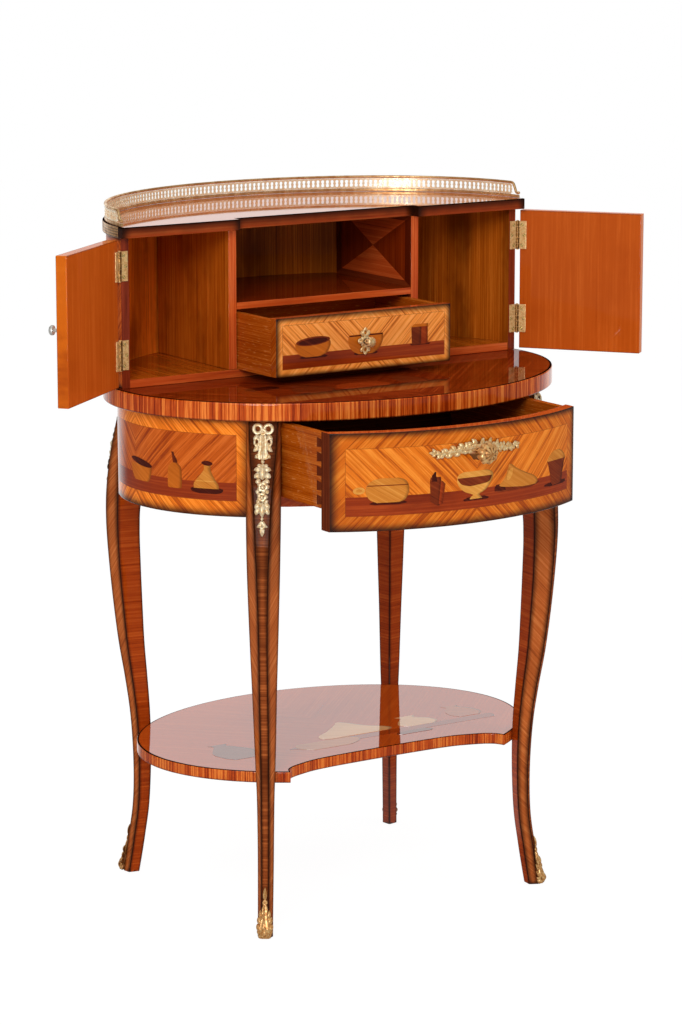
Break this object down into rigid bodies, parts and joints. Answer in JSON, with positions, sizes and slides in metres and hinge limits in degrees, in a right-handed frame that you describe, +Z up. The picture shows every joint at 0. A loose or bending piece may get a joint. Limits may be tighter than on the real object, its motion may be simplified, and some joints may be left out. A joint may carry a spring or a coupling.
{
  "type": "bonheur du jour",
  "caption": "Oval lady's writing table on cabriole legs with a bowed frieze drawer, a scooped lower shelf and a galleried cabinet with hinged doors, a niche and a small drawer.",
  "frame": {"origin": "centre of the bounding box at floor level, with the doors and drawers open as stored", "axes": "+Z up; -Y is the front, the side the drawers pull out to; +X is the viewer's right"},
  "size_m": [0.9601, 0.6577, 0.9982],
  "materials": {
    "veneer": "high-gloss lacquered veneer in chevrons",
    "crossband_edge": "high-gloss lacquered crossbanding",
    "carcass_wood": "gloss lacquer",
    "inside_wood": "satin lacquer",
    "drawer_oak": "satin lacquer",
    "door_wood": "gloss lacquer",
    "gilt_bronze": "cast gilt bronze",
    "brass": "polished brass",
    "nickel": "polished plated metal"
  },
  "bodies": {
    "table": {"leg_front_left": "veneer", "leg_front_right": "veneer", "leg_back_left": "veneer", "leg_back_right": "veneer", "frieze_panel_left": "veneer", "frieze_panel_right": "veneer", "frieze_panel_back": "veneer", "oval_top": "crossband_edge", "undertier_shelf": "crossband_edge", "cabinet_top": "crossband_edge", "bearer_rail": "carcass_wood", "cabinet_floor": "carcass_wood", "divider_left": "carcass_wood", "divider_right": "carcass_wood", "niche_shelf": "carcass_wood", "cabinet_wall": "inside_wood", "runner_left": "drawer_oak", "runner_right": "drawer_oak", "chute_front_left": "gilt_bronze", "chute_front_right": "gilt_bronze", "chute_back_left": "gilt_bronze", "chute_back_right": "gilt_bronze", "sabot_front_left": "gilt_bronze", "sabot_front_right": "gilt_bronze", "sabot_back_left": "gilt_bronze", "sabot_back_right": "gilt_bronze", "gallery_base_rail": "brass", "gallery_fret": "brass", "gallery_top_rail": "brass", "hinge_carcass_leaf_left_lower": "brass", "hinge_carcass_leaf_left_upper": "brass", "hinge_carcass_leaf_right_lower": "brass", "hinge_carcass_leaf_right_upper": "brass", "hinge_pin_left_lower": "brass", "hinge_pin_left_upper": "brass", "hinge_pin_right_lower": "brass", "hinge_pin_right_upper": "brass"},
    "frieze_drawer": {"frieze_drawer_front": "veneer", "frieze_drawer_side_left": "drawer_oak", "frieze_drawer_side_right": "drawer_oak", "frieze_drawer_back": "drawer_oak", "frieze_drawer_bottom": "drawer_oak", "frieze_drawer_pull": "gilt_bronze"},
    "small_drawer": {"small_drawer_front": "veneer", "small_drawer_side_left": "drawer_oak", "small_drawer_side_right": "drawer_oak", "small_drawer_back": "drawer_oak", "small_drawer_bottom": "drawer_oak", "small_drawer_knob": "gilt_bronze"},
    "left_door": {"door_panel_left": "door_wood", "door_knob_left": "nickel", "hinge_door_leaf_left_lower": "brass", "hinge_door_leaf_left_upper": "brass"},
    "right_door": {"door_panel_right": "door_wood", "door_knob_right": "nickel", "hinge_door_leaf_right_lower": "brass", "hinge_door_leaf_right_upper": "brass"}
  },
  "joints": [
    {"name": "frieze_drawer_slide", "type": "slide", "parent": "table", "child": "frieze_drawer", "axis": [0, -1, 0], "range_m": [-0.119, 0.1]},
    {"name": "small_drawer_slide", "type": "slide", "parent": "table", "child": "small_drawer", "axis": [0, -1, 0], "range_m": [-0.1017, 0.062]},
    {"name": "left_door_hinge", "type": "hinge", "parent": "table", "child": "left_door", "pos_m": [-0.32194, 0.0787, 0.855], "axis": [0, 0, -1], "range_deg": [-141, 30]},
    {"name": "right_door_hinge", "type": "hinge", "parent": "table", "child": "right_door", "pos_m": [0.34908, 0.0787, 0.855], "axis": [0, 0, 1], "range_deg": [-128, 42]}
  ]
}
